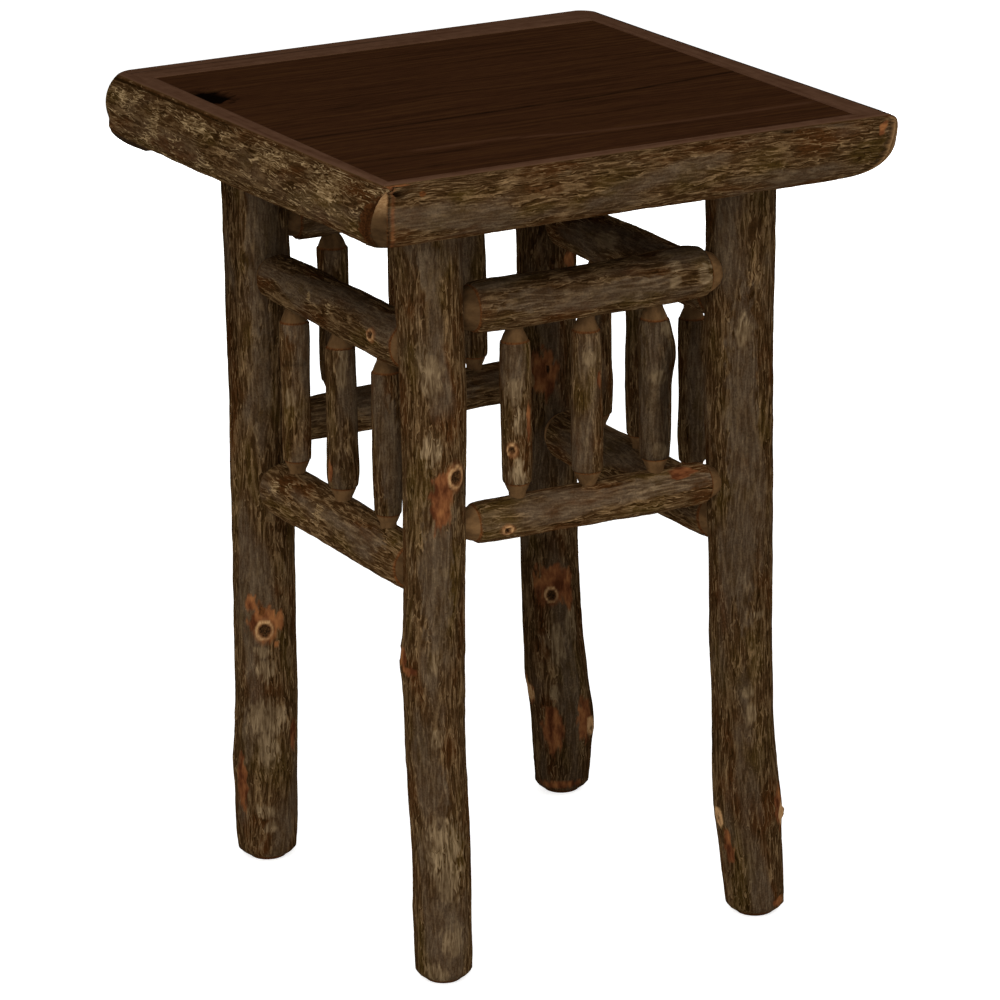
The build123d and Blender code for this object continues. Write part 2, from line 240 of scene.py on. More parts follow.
def grow_bark(around, along, girth, seed, roughness, wear_and_sheen_side, brightness=1.0):
    """Relief of the bark in millimetres, and the masks that its colours follow."""
    def rough(cell, run, step, aside=0):
        return ripple(around + aside, along, girth, cell, run, seed + step)

    lean = 1.2 * rough(15, 48, 0) + 0.5 * rough(7, 17, 1)
    net = rough(ridge_width, ridge_run, 2, lean)
    small_net = rough(small_ridge_width, small_ridge_run, 14, lean)
    fibres = rough(fibre_width, fibre_run, 3, lean)
    broken = 0.62 + 0.5 * rough(5, 15, 15)
    crest = np.clip(np.maximum(line(net, 0.10), 0.75 * line(small_net, 0.11)) * broken * 1.5, 0, 1)
    furrow = np.maximum(line(np.abs(net) - 0.28, 0.11), 0.75 * line(np.abs(small_net) - 0.31, 0.12))
    # The worn grey is partly weathering and partly a painted sheen: the cosine makes it greyest at the given
    # bearing, which on the poles faces the camera, and on the side opposite.
    turned = np.cos(2 * (2 * math.pi * around / girth - math.radians(wear_and_sheen_side)))
    worn_and_sheen = soft_step(0.32 * turned + rough(26, 90, 4) + 0.35 * rough(9, 30, 5), 0.0, 0.62)
    depth = roughness * (1 - 0.5 * worn_and_sheen) * (0.85 + 0.5 * rough(20, 60, 6))
    ridge = plain_height + 0.26 * crest - 0.17 * furrow * (1 - crest) + 0.12 * fibres
    ridge = np.clip(plain_height + (ridge - plain_height) * (1 - 0.5 * worn_and_sheen), 0, 1)
    swell = 0.7 * rough(34, 70, 7) + 0.35 * rough(14, 30, 8)
    dapple = rough(12, 26, 9) + 0.6 * rough(4.5, 9, 10)
    tint = np.clip(0.5 + 0.75 * rough(24, 60, 11) + 0.3 * rough(9, 20, 12), 0, 1)
    found = {name: np.zeros_like(ridge) for name in masks}
    found["ridge"] = ridge
    found["worn_and_sheen"] = worn_and_sheen
    found["lichen"] = 0.3 * soft_step(dapple, 0.75, 1.1)
    # Painted warm rim light: the bark is redder on the two sides at right angles to that bearing, which on
    # the poles are the sides seen edge-on from the camera.
    found["tint"] = tint * (1 - 0.5 * soft_step(-turned, 0.2, 1.0))
    found["tone"] = 0.5 * brightness * (1 + 0.12 * rough(22, 45, 13))
    return ridge_depth * depth * (ridge - 0.5) * 2.0 + swell, found


def raise_mask(found, name, value):
    """Lifts a mask to at least this value."""
    found[name] = np.maximum(found[name], value)


def mark_bark(relief, found, around, along, girth, marks, seed):
    """Adds what is special to one pole: knots, flaked patches, lichen, swellings. Each mark is
    an oval with a ragged edge: its kind, place, bearing, and half its width and length."""
    ragged = (0.6 * ripple(around, along, girth, 6, 11, seed + 20)
              + 0.6 * ripple(around, along, girth, 2.6, 6, seed + 21))
    for kind, place, bearing, half_width, half_length in marks:
        across = (around - bearing / 360 * girth + girth / 2) % girth - girth / 2
        distance = np.hypot(across / half_width, (along - place) / half_length)
        inside = np.clip((1.1 + 0.5 * ragged - distance) / 0.25, 0, 1)
        if kind == "swell":
            relief = relief + swell_share * half_width * line(distance, 1)
        elif kind in ("knot", "bud"):
            distance = distance * (1 + 0.12 * ragged)
            relief = (relief * (1 - inside) + knot_collar * line(distance - 0.95, 0.5)
                      - knot_depth * line(distance, 0.55))
            raise_mask(found, "eye", 1 - soft_step(distance, 0.62, 0.85))
            if kind == "knot":                     # the pale ring of healed bark fades on one side
                open_side = soft_step(across / half_width - (along - place) / half_length, -0.6, 1.4)
                raise_mask(found, "callus_and_highlight", line(distance - 0.98, 0.17) * (1 - 0.6 * open_side))
            raise_mask(found, "bare", np.clip(1.9 - distance + 0.5 * ragged, 0, 1))
        elif kind == "bare":
            relief = relief + inside * (-flake_depth + 0.15 * ragged - relief)
            raise_mask(found, "bare", inside)
        # A hole is sunk in, and painted darker inside as painted shade.
        elif kind == "hole":
            relief = relief - hole_depth * inside * np.clip(1.2 - distance, 0, 1)
            found["tone"] *= 1 - 0.85 * line(distance, 1)
        # A darker patch; where it lies on the poles under the table top, it is painted shade.
        elif kind == "dark":
            found["tone"] *= 1 - 0.35 * np.exp(-distance ** 4)
        elif kind == "gold":
            raise_mask(found, "gold", np.clip(1.5 - distance + 0.6 * ragged, 0, 0.9))
        elif kind == "lichen":
            patch = np.clip((1.25 + 0.8 * ragged - distance) / 0.3, 0, 1)
            raise_mask(found, "lichen", patch * (0.35 + 0.8 * found["ridge"]))
            relief = relief + 0.15 * patch
        else:
            raise_mask(found, kind, inside)
    return relief, found


class Shading:
    """A surface material, and the kinds of node that its colours are worked out with. Lengths are
    in millimetres."""

    def __init__(self, name, inputs):
        self.made, self.tree, output = new_material(name)
        self.surface = add(self.tree, "ShaderNodeBsdfPrincipled", inputs)
        self.tree.links.new(self.surface.outputs[0], output.inputs["Surface"])
        self.place = self.node("TexCoord", output="Object")

    def node(self, kind, inputs=None, output=0, **settings):
        return add(self.tree, "ShaderNode" + kind, inputs, **settings).outputs[output]

    def mask(self, name):
        return self.node("Attribute", output="Fac", attribute_name=name)

    def calc(self, operation, a, b=0.0, c=0.0, clamp=True):
        return self.node("Math", {0: a, 1: b, 2: c}, operation=operation, use_clamp=clamp)

    def scaled(self, a, b, c=0.0, clamp=True):
        """a times b, plus c."""
        return self.calc("MULTIPLY_ADD", a, b, c, clamp)

    def between(self, factor, a, b):
        return self.node("Mix", {0: factor, 2: a, 3: b})

    def mix(self, factor, a, b, blend="MIX"):
        return self.node("Mix", {0: factor, 6: a, 7: b}, 2, data_type="RGBA", blend_type=blend)

    def fade(self, place, low, high, before=1.0):
        """A value before the low place that falls to 0 at the high one."""
        return self.node("MapRange", {0: place, 1: low * MM, 2: high * MM, 3: before, 4: 0.0})

    def squeezed(self, place, scale):
        """Places squeezed along some axes, so that a pattern runs long that way."""
        return self.node("Mapping", {0: place, 3: scale})

    def noise(self, place, cell, detail, roughness=0.5, output=0):
        """Noise with cells of this size: its value, or as output 1 its colour."""
        inputs = {"Vector": place, "Scale": 1 / (cell * MM), "Detail": detail, "Roughness": roughness}
        return self.node("TexNoise", inputs, output)

    def sway(self, place, cell, reach):
        """Places moved aside by slow noise, so that straight grain sways."""
        drift = self.noise(place, cell, 1.0, output=1)
        drift = self.node("VectorMath", {0: drift, 1: [r * MM for r in reach]}, operation="MULTIPLY")
        return self.node("VectorMath", {0: place, 1: drift}, operation="ADD")

    def ramp(self, factor, *stops):
        """A colour that runs through these stops: the first, the last, and one between."""
        node = add(self.tree, "ShaderNodeValToRGB", {0: factor})
        for k, (position, colour) in enumerate(stops):
            stop = node.color_ramp.elements[k] if k < 2 else node.color_ramp.elements.new(position)
            stop.position = position
            stop.color = linear(colour)
        return node.outputs[0]

    def finish(self, colour, height=None, strength=0.0, depth=0.0):
        """Sets the colour, and a bump of this depth."""
        self.tree.links.new(colour, self.surface.inputs["Base Color"])
        if height is not None:
            bump = self.node("Bump", {"Strength": strength, "Distance": depth * MM, "Height": height})
            self.tree.links.new(bump, self.surface.inputs["Normal"])
        return self.made


def only(axis, share):
    """Scales that squeeze a pattern along one axis."""
    return [share if k == axis else 1.0 for k in range(3)]


def bark_material(name, along_axis, furrow, rusty, middle, olive, crest, worn_and_sheen, worn_and_sheen_crest, lichen):
    """Bark under thin lacquer: matt and ridged, its crests paler than its furrows."""
    on = Shading(name, {"Roughness": 0.6, **clear_matt})
    calc, scaled, mix, ramp = on.calc, on.scaled, on.mix, on.ramp
    mask = {each: on.mask(each) for each in masks}
    along_grain = on.squeezed(on.place, only(along_axis, 0.4))
    fine = on.noise(along_grain, 1.5, 3.0, 0.65)
    blotch = on.noise(along_grain, 7, 3.0, 0.6)
    grit = on.noise(on.place, 1.5, 2.0, 0.6)

    # Thin pale crests that sway and break off, each with a dark furrow along one side.
    along_ridge = on.squeezed(on.sway(on.place, 15, (6, 6, 6)), only(along_axis, 0.07))
    vein = on.noise(along_ridge, 2.9, 1.0)
    beside_crest = calc("ABSOLUTE", calc("SUBTRACT", vein, 0.5, clamp=False))
    beside_furrow = calc("ABSOLUTE", calc("SUBTRACT", vein, 0.56, clamp=False))
    thin_crest = scaled(beside_crest, -22.0, 1.0)
    thin_crest = scaled(thin_crest, scaled(blotch, 4.5, -1.5))
    thin_furrow = scaled(beside_furrow, -24.0, 1.0)
    speckled = scaled(fine, 0.34, -0.17, clamp=False)
    height = calc("ADD", mask["ridge"], speckled, clamp=False)
    veined = scaled(mask["worn_and_sheen"], -0.3, 0.45)
    height = scaled(thin_crest, veined, height, clamp=False)
    height = scaled(thin_furrow, scaled(veined, -0.6, clamp=False), height)

    # Brown bark, here and there olive or rusty, with grey patches, partly worn and partly a painted
    # sheen, lichen and golden flakes.
    brown = ramp(height, (0.1, furrow), (0.95, crest), (0.42, middle))
    green = ramp(height, (0.1, furrow), (0.95, crest), (0.42, olive))
    red = ramp(height, (0.1, furrow), (1.0, crest), (0.5, rusty))
    grey = ramp(height, (0.1, middle), (0.95, worn_and_sheen_crest), (0.4, worn_and_sheen))
    pale = ramp(height, (0.15, middle), (0.8, lichen))
    golden = ramp(height, (0.3, "#5c4427"), (0.9, "#a48a64"))
    colour = mix(scaled(mask["tint"], 2.5, -1.4), brown, green)
    colour = mix(scaled(mask["tint"], -2.5, 0.85), colour, red)
    colour = mix(scaled(mask["worn_and_sheen"], scaled(blotch, 2.2, -0.35)), colour, grey)
    colour = mix(0.4, colour, ramp(grit, (0.3, "#6b6b6b"), (0.65, "#ffffff")), "MULTIPLY")
    colour = mix(scaled(mask["lichen"], scaled(blotch, 2.4, -0.2)), colour, pale)
    flecks = scaled(mask["gold"], 2.2, -3.2, clamp=False)
    flecks = scaled(fine, 3.5, flecks, clamp=False)
    flecks = scaled(thin_crest, 1.6, flecks)
    colour = mix(scaled(flecks, scaled(mask["gold"], 8.0)), colour, golden)

    # Inner bark, sawn wood, the healed ring and the rotten heart of a knot, and the bark's torn rim.
    # The healed ring's pale colour also paints a highlight near the top of the front corner's flat.
    flesh = ramp(blotch, (0.36, "#4c2815"), (0.66, "#935f37"), (0.5, "#724427"))
    wood = ramp(blotch, (0.35, "#4a3520"), (0.65, "#62482d"))
    healed_and_highlight = ramp(fine, (0.3, "#946a42"), (0.7, "#c69d6d"))
    rotten = ramp(grit, (0.35, "#1c1008"), (0.7, "#583c22"))
    torn = ramp(fine, (0.3, "#3a200f"), (0.7, "#724523"))
    ring = scaled(mask["callus_and_highlight"], 1.3)
    for factor, shade in ((mask["bare"], flesh), (mask["cut"], wood), (ring, healed_and_highlight), (mask["eye"], rotten),
                          (mask["rim"], torn)):
        colour = mix(factor, colour, shade)
    # Painted light and shade: each pole's brightness and its dark patches under the table top, besides tone
    # that differs at random and dark joints.
    colour = mix(1.0, colour, scaled(mask["tone"], 2.0, clamp=False), "MULTIPLY")
    colour = mix(mask["burnt"], colour, linear(burnt_brown))
    return on.finish(colour, fine, 0.6, 0.5)


bark_along = [
    bark_material(f"hickory_bark_clear_lacquer_{'xyz'[k]}", k, furrow="#2a1a08", rusty="#4b2b12",
                  middle="#452f19", olive="#473416", crest="#866a48", worn_and_sheen="#534231", worn_and_sheen_crest="#867055",
                  lichen="#978060")
    for k in range(3)]


def solid_points(node):
    """Corner points, in millimetres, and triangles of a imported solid."""
    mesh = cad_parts[node].data
    points = np.empty(len(mesh.vertices) * 3)
    mesh.vertices.foreach_get("co", points)
    mesh.calc_loop_triangles()
    corners = np.empty(len(mesh.loop_triangles) * 3, int)
    mesh.loop_triangles.foreach_get("vertices", corners)
    return points.reshape(-1, 3) / MM, corners.reshape(-1, 3)


def slice_points(points, corners, axis, level):
    """Where the edges of a solid's triangles cross a level."""
    height = points[corners][:, :, axis] - level
    crossings = []
    for i, j in ((0, 1), (1, 2), (2, 0)):
        cut = height[:, i] * height[:, j] < 0
        share = (height[cut, i] / (height[cut, i] - height[cut, j]))[:, None]
        crossings.append(points[corners[cut, i]] * (1 - share) + points[corners[cut, j]] * share)
    return np.vstack(crossings)


def fit_circle(flat):
    """Middle and radius of the circle that lies nearest to these points."""
    terms = np.c_[2 * flat, np.ones(len(flat))]
    answer = np.linalg.lstsq(terms, (flat ** 2).sum(1), rcond=None)[0]
    return answer[:2], math.sqrt(answer[2] + answer[:2] @ answer[:2])


def round_section(points, corners, axis, level):
    """Middle and radius of the round section of a solid at a level; its mortises don't count."""
    flat = slice_points(points, corners, axis, level)[:, [(axis + 1) % 3, (axis + 2) % 3]]
    middle = (flat.min(0) + flat.max(0)) / 2
    radius = np.percentile(np.hypot(*(flat - middle).T), 90)
    for _ in range(6):
        near = flat[np.abs(np.hypot(*(flat - middle).T) - radius) < 1.0]
        middle, radius = fit_circle(near)
    return middle, radius


def of_wood(mask, brightness=1.0):
    """The value of a mask where sawn wood shows."""
    return {"cut": 1.0, "tone": 0.5 * brightness}.get(mask, 0.0)


def store_mask(mesh, name, values):
    """Keeps a mask on a mesh, for its material."""
    layer = mesh.attributes.new(name, "FLOAT", "POINT")
    layer.data.foreach_set("value", np.clip(values, 0, 1).astype(np.float32).ravel())


def finish_piece(mesh, node, material):
    """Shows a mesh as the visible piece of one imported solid."""
    mesh.materials.append(material)
    piece = show(mesh.name, mesh)
    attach(piece, "root")
    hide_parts(node)
    return piece


def sheet_to_piece(name, node, points, found, material):
    """A sheet of mesh moved to these points, its edges joined where they meet, as one piece."""
    mesh = grid_mesh(name, points.shape[1] - 1, points.shape[0] - 1)
    mesh.vertices.foreach_set("co", (points * MM).astype(np.float32).ravel())
    for mask in masks:
        store_mask(mesh, mask, found[mask])
    bm = bmesh.new()
    bm.from_mesh(mesh)
    bmesh.ops.remove_doubles(bm, verts=bm.verts, dist=0.001 * MM)
    open_edges = [e for e in bm.edges if e.is_boundary]
    if open_edges:
        caps = bmesh.ops.holes_fill(bm, edges=open_edges, sides=0)["faces"]
        bmesh.ops.poke(bm, faces=caps)
    bmesh.ops.recalc_face_normals(bm, faces=bm.faces)
    bm.to_mesh(mesh)
    bm.free()
    mesh.shade_smooth()
    return finish_piece(mesh, node, material)


def smooth_run(values, reach):
    """Rounds off the bends of a run of evenly spaced values, keeping its two ends."""
    weights = np.hanning(2 * reach + 3)[1:-1]
    padded = np.r_[np.full(reach, values[0]), values, np.full(reach, values[-1])]
    eased = np.convolve(padded, weights / weights.sum(), "valid")
    pull = np.minimum(np.arange(len(values)), np.arange(len(values))[::-1]) / reach
    return values + (eased - values) * np.clip(pull, 0, 1)


def make_pole(node, seed, marks, cuts, tenons, edge_round, roughness=1.0, reach=9, brightness=1.0,
              wood_brightness=(1.0, 1.0)):
    """A pole wrapped in bark along the line of its solid. cuts gives the bare wood beyond the
    bark at the two ends: how far out, and how much less its radius is than the bark's. tenons
    gives each end's tenon as its shoulder's distance, its radius and its length, or None."""
    points, corners = solid_points(node)
    low, high = points.min(0), points.max(0)
    axis = int(np.argmax(high - low))
    beyond = [tenon[0] + tenon[2] if tenon else cut[-1][0] for cut, tenon in zip(cuts, tenons)]
    bark_low = low[axis] + beyond[0]
    bark_high = high[axis] - beyond[1]
    count = round((bark_high - bark_low) / row_length)
    levels = np.linspace(bark_low, bark_high, count)
    inset = np.clip(levels, bark_low + 0.3, bark_high - 0.3)
    rounds = [round_section(points, corners, axis, level) for level in inset]
    middles = np.array([middle for middle, _ in rounds])
    radii = np.array([radius for _, radius in rounds])
    middles = np.c_[smooth_run(middles[:, 0], reach), smooth_run(middles[:, 1], reach)]
    radii = smooth_run(radii, reach)

    # The rim of the bark is rounded, so its last rows lie closer together.
    close = np.array([0.4, 0.9, 1.6]) * edge_round
    inner = levels[(levels > bark_low + close[-1] + 1) & (levels < bark_high - close[-1] - 1)]
    rows = np.r_[bark_low, bark_low + close, inner, bark_high - close[::-1], bark_high]
    girth = 2 * math.pi * radii.mean()
    columns = round(girth / column_width)
    theta = np.linspace(0, 2 * math.pi, columns + 1)[None, :]
    along = rows[:, None] + 0 * theta
    around = theta * girth / (2 * math.pi) + 0 * along
    relief, found = grow_bark(around, along, girth, seed, roughness, painted_sheen_sides[axis], brightness)
    relief, found = mark_bark(relief, found, around, along, girth, marks, seed)
    to_end = np.minimum(along - bark_low, bark_high - along)
    dip = np.clip(1 - to_end / (1.7 * edge_round), 0, 1)
    relief = relief * (1 - dip) - edge_round * dip ** 2
    uneven = 0.16 * ripple(around, along, girth, 13, 30, seed + 25)
    raise_mask(found, "rim", soft_step(dip + uneven, 0.6, 0.85))
    radius = np.interp(along, levels, radii) + relief

    def end_rows(side):
        """The cut wood beyond one end, with a little tool waver."""
        place, sign = (bark_low, -1) if side == 0 else (bark_high, 1)
        steps = [(out, radii[-side] - less) for out, less in cuts[side]]
        if tenons[side]:
            shoulder, tenon_radius, tenon_length = tenons[side]
            steps += [(shoulder, tenon_radius), (shoulder + tenon_length, tenon_radius)]
        made = []
        for out, size in steps:
            waver = 0.12 * ripple(around[:1], along[:1] + 5 * out, girth, 9, 7, seed + 30 + side)
            made.append((place + sign * out + 0 * theta, size + waver + 0 * theta))
        made.append((place + sign * steps[-1][0] + 0 * theta, 0 * theta))
        return made

    before, after = end_rows(0)[::-1], end_rows(1)
    along = np.vstack([a for a, _ in before] + [along] + [a for a, _ in after])
    radius = np.vstack([r for _, r in before] + [radius] + [r for _, r in after])
    for mask in masks:
        ends = [of_wood(mask, bright) for bright in wood_brightness]
        found[mask] = np.pad(found[mask], ((len(before), len(after)), (0, 0)), constant_values=(ends, (0, 0)))
    for row in (len(before) - 1, -len(after)):
        found["rim"][row] = 1.0
    placed = np.empty(along.shape + (3,))
    placed[..., axis] = along
    placed[..., (axis + 1) % 3] = np.interp(along, levels, middles[:, 0]) + radius * np.cos(theta)
    placed[..., (axis + 2) % 3] = np.interp(along, levels, middles[:, 1]) + radius * np.sin(theta)
    placed[:, -1] = placed[:, 0]
    for mask in masks:
        found[mask][:, -1] = found[mask][:, 0]
    sheet_to_piece(f"{node}_bark", node, placed, found, bark_along[axis])


# ---- legs --------------------------------------------------------------------------------
# Four stout poles, sawn square at the foot and rounded over there with a rasp, so that a thin,
# uneven ring of inner bark shows. A round tenon at the top goes up into the cleat.
foot_cut = [(0.8, 4.4), (1.2, 5.0)]
foot_round = 4.2
leg_tenon = (0.0, 12.7, 18.5)
# Worn marks near bearing -118, on the side that faces the camera, are painted sheen as well as wear.
leg_marks = {
    "leg_front_left": [
        ("bare", 382, -104, 9, 20), ("bare", 399, -88, 8, 9), ("knot", 400, -76, 6.0, 7.6),
        ("bare", 259, 168, 9, 7), ("bare", 250, -168, 8, 3), ("lichen", 478, -118, 7, 14),
        ("lichen", 423, -125, 7, 9), ("worn_and_sheen", 330, -112, 12, 60), ("worn_and_sheen", 560, -115, 8, 22),
        ("lichen", 258, -116, 3, 6), ("lichen", 199, -116, 4, 7), ("worn_and_sheen", 160, -116, 9, 20),
        ("lichen", 112, -110, 13, 20), ("lichen", 84, -104, 9, 13), ("lichen", 38, -100, 8, 11),
        ("lichen", 10, -128, 7, 7), ("swell", 255, 160, 14, 16), ("bare", 292, 84, 9, 16),
        ("knot", 301, 80, 5.0, 6.5), ("lichen", 140, 45, 7, 12), ("worn_and_sheen", 420, 60, 10, 60),
        ("bare", 150, 12, 6, 14),
    ],
    "leg_back_left": [
        ("bare", 205, -120, 13, 14), ("bare", 219, -143, 5, 8), ("bare", 206, -88, 4, 9),
        ("rim", 216, -122, 3, 6), ("knot", 198, -117, 6.6, 7.2), ("bare", 186, -95, 2.4, 2.4),
        ("bare", 66, -170, 6, 24), ("swell", 80, 160, 12, 18), ("bare", 105, -55, 5, 13),
        ("lichen", 180, -122, 5, 5), ("lichen", 164, -115, 6, 8), ("lichen", 124, -118, 15, 14),
        ("lichen", 97, -112, 8, 10), ("lichen", 45, -120, 7, 6), ("lichen", 31, -108, 5, 5),
        # The two dark marks are painted shade near the top, under the table top.
        ("worn_and_sheen", 500, -116, 9, 70), ("dark", 430, -75, 20, 170), ("dark", 510, 182, 15, 120),
        ("swell", 25, 162, 11, 45), ("bare", 330, 95, 9, 18), ("knot", 339, 91, 5.5, 7.0),
        ("lichen", 160, 70, 8, 12), ("lichen", 92, 108, 6, 9), ("worn_and_sheen", 250, 80, 12, 50),
        ("lichen", 445, 60, 5, 10),
    ],
    "leg_front_right": [
        ("lichen", 474, -117, 5.8, 10.5), ("swell", 430, 165, 19, 120), ("swell", 84, -178, 12, 18),
        ("bare", 59, -164, 5, 14), ("callus_and_highlight", 83, -176, 4.6, 7.5), ("bud", 83, -174, 1.5, 2.6),
        ("bare", 90, -48, 7, 17), ("callus_and_highlight", 84, -42, 5.0, 9.0), ("bud", 83, -38, 1.4, 3.0),
        ("swell", 88, -46, 12, 18), ("lichen", 250, -88, 3, 4), ("lichen", 188, -110, 4, 5),
        ("lichen", 170, -106, 4, 7), ("worn_and_sheen", 400, -118, 12, 120), ("worn_and_sheen", 300, -118, 11, 60),
        ("bare", 12, -60, 9, 4), ("bare", 290, 0, 10, 16), ("knot", 300, 6, 5.5, 7.0),
        ("lichen", 170, 18, 8, 12), ("worn_and_sheen", 220, 30, 12, 40), ("lichen", 500, 60, 6, 10),
        ("lichen", 60, 70, 7, 8),
    ],
    "leg_back_right": [
        ("bare", 365, -125, 12, 20), ("bud", 369, -118, 2.0, 4.5), ("bare", 186, -113, 17, 17),
        ("bare", 176, -84, 5, 12), ("knot", 177, -118, 5.0, 6.0), ("bare", 61, -136, 9, 21),
        ("bare", 90, 172, 8, 11), ("callus_and_highlight", 90, 168, 8, 8), ("callus_and_highlight", 59, -56, 4.6, 9),
        ("bud", 56, -54, 1.4, 4.0), ("bare", 66, -68, 8, 19), ("swell", 62, -55, 14, 20),
        ("swell", 100, 175, 14, 20), ("bare", 457, -67, 6, 9), ("lichen", 150, -80, 5, 14),
        ("lichen", 135, -112, 7, 14), ("lichen", 92, -128, 4, 5), ("bare", 10, -120, 22, 3),
        ("bare", 250, 48, 10, 18), ("knot", 241, 42, 5.5, 7.0), ("lichen", 430, 80, 7, 12),
        ("worn_and_sheen", 330, 60, 12, 60), ("lichen", 150, 60, 8, 11),
    ],
}
leg_brightness = [0.97, 0.95, 0.86, 0.57]       # painted shade: the inner rear leg, in the shade under the top, is painted the darkest pole
for number, (node, marks) in enumerate(leg_marks.items()):
    make_pole(node, 100 + 50 * number, marks, (foot_cut, []), (None, leg_tenon), edge_round=foot_round,
              brightness=leg_brightness[number])

# ---- rails -------------------------------------------------------------------------------
# Two poles between the legs of each side. The ends are cut like a blunt pencil by a tenon
# cutter, through the bark, and the round tenon is glued into the leg.
rail_cut = [(0.0, 2.0), (0.8, 2.1), (3.5, 2.8), (7.0, 4.2), (10.0, 6.0)]
rail_tenon = (12.0, 11.0, 28.0)
rail_round = 1.8
# Worn marks on the side of a rail that faces the camera, near bearing 160 on rails along x and -56 on rails
# along y, are painted sheen as well as wear.
rail_marks = {
    "upper_rail_front": [
        ("lichen", 62, 142, 5, 4), ("lichen", 85, 173, 7, 5), ("lichen", 95, 150, 5, 4),
        ("lichen", 60, 175, 4, 4), ("worn_and_sheen", -60, 165, 9, 25), ("worn_and_sheen", 20, 170, 6, 40),
        # painted shade along the rail's top, under the table top
        ("dark", 0, 108, 11, 120),
    ],
    "lower_rail_front": [("knot", -81, -163, 3.2, 3.6), ("worn_and_sheen", 40, 150, 8, 60), ("bare", 72, 120, 6, 12)],
    "upper_rail_left": [
        ("knot", -94, -78, 3.6, 4.2), ("gold", 13, -68, 3.0, 4.0), ("gold", -20, -66, 4.5, 5.0),
        # painted shade along the rail's top, under the table top
        ("dark", 0, -10, 14, 140),
    ],
    "lower_rail_left": [
        ("gold", 79, -66, 6, 7), ("gold", 4, -62, 7, 9), ("gold", 60, -50, 4, 5), ("worn_and_sheen", -80, -50, 8, 20),
    ],
    "upper_rail_right": [("lichen", 20, -60, 8, 14), ("knot", -62, 85, 3.6, 4.4), ("lichen", 40, 95, 6, 9)],
    "lower_rail_right": [("bare", 62, 94, 5, 10), ("knot", 52, 100, 3.4, 4.0), ("worn_and_sheen", -20, 90, 8, 50)],
    "upper_rail_back": [("knot", 42, 8, 3.6, 4.2), ("lichen", -50, 20, 5, 8), ("worn_and_sheen", 0, 0, 8, 60)],
    "lower_rail_back": [("worn_and_sheen", 0, 160, 10, 60), ("bare", -52, 8, 5, 12), ("knot", -62, -4, 3.4, 4.0)],
}
# Painted light and shade: the lower front and left rails are lighter, where more light falls on them, and the
# upper left rail darker.
rail_brightness = {"lower_rail_front": 1.2, "lower_rail_left": 1.3, "upper_rail_left": 0.92}
rail_wood = {                      # brightness of the cut wood at the two ends
    "upper_rail_front": (0.85, 1.7),
    "lower_rail_front": (1.5, 1.3),
    "upper_rail_left": (1.15, 0.9),
    "lower_rail_right": (1.3, 1.7),
}
for number, (node, marks) in enumerate(rail_marks.items()):
    make_pole(node, 400 + 50 * number, marks, (rail_cut, rail_cut), (rail_tenon, rail_tenon),
              edge_round=rail_round, brightness=rail_brightness.get(node, 1.0),
              wood_brightness=rail_wood.get(node, (1.0, 1.0)))

# ---- spindles ----------------------------------------------------------------------------
# Three thin poles between the rails of each side. Their ends are cut to a longer point than
# the rails', and a thin round tenon goes into the rail above and below.
spindle_cut = [(0.0, 1.2), (1.5, 1.6), (4.5, 2.8), (7.5, 4.3)]
spindle_tenon = (10.0, 6.35, 14.0)
spindle_round = 0.9
spindle_wood = (1.3, 1.1)
# Worn marks near bearing -118, on the side that faces the camera, are painted sheen as well as wear.
spindle_marks = {
    "spindle_front_1": [
        ("knot", 408, -136, 3.2, 3.8), ("lichen", 452, -125, 6, 9), ("lichen", 432, -100, 5, 9),
        ("lichen", 385, -115, 6, 12), ("bare", 430, -62, 3, 14),
    ],
    "spindle_front_2": [("lichen", 470, -110, 4, 6), ("bare", 452, -62, 3, 6)],
    "spindle_front_3": [
        ("worn_and_sheen", 420, -118, 14, 110), ("dark", 430, -82, 8, 66), ("dark", 420, -72, 8, 60),
        ("lichen", 446, -112, 6, 5), ("lichen", 388, -105, 6, 6), ("lichen", 482, -75, 4, 6),
    ],
    "spindle_left_1": [
        ("worn_and_sheen", 470, -118, 10, 26), ("dark", 428, -118, 12, 2.0), ("lichen", 400, -140, 4, 7),
    ],
    "spindle_left_2": [
        ("lichen", 462, -108, 5, 14), ("lichen", 440, -118, 5, 9), ("bare", 362, -175, 3, 10),
    ],
    "spindle_left_3": [("worn_and_sheen", 400, -110, 8, 40)],
    "spindle_back_1": [("knot", 430, 95, 3.0, 3.6), ("lichen", 395, 80, 4, 7)],
    "spindle_back_2": [("lichen", 450, 90, 5, 8)],
    "spindle_back_3": [("bare", 400, 85, 4, 10)],
    "spindle_right_1": [("swell", 375, -60, 7, 14), ("lichen", 440, 10, 5, 9)],
    "spindle_right_2": [("knot", 412, 5, 3.0, 3.6)],
    "spindle_right_3": [("swell", 368, 175, 6, 12), ("lichen", 400, 12, 5, 8)],
}
# Brightness of some spindles, painted light and shade.
spindle_brightness = {
    "spindle_front_3": 0.72, "spindle_left_1": 1.1, "spindle_left_2": 0.78, "spindle_left_3": 0.85,
    "spindle_right_1": 0.8, "spindle_right_2": 0.8, "spindle_right_3": 0.7,
}
for number, (node, marks) in enumerate(spindle_marks.items()):
    make_pole(node, 900 + 50 * number, marks, (spindle_cut, spindle_cut), (spindle_tenon, spindle_tenon),
              edge_round=spindle_round, roughness=0.7, reach=6, brightness=spindle_brightness.get(node, 1.0),
              wood_brightness=spindle_wood)

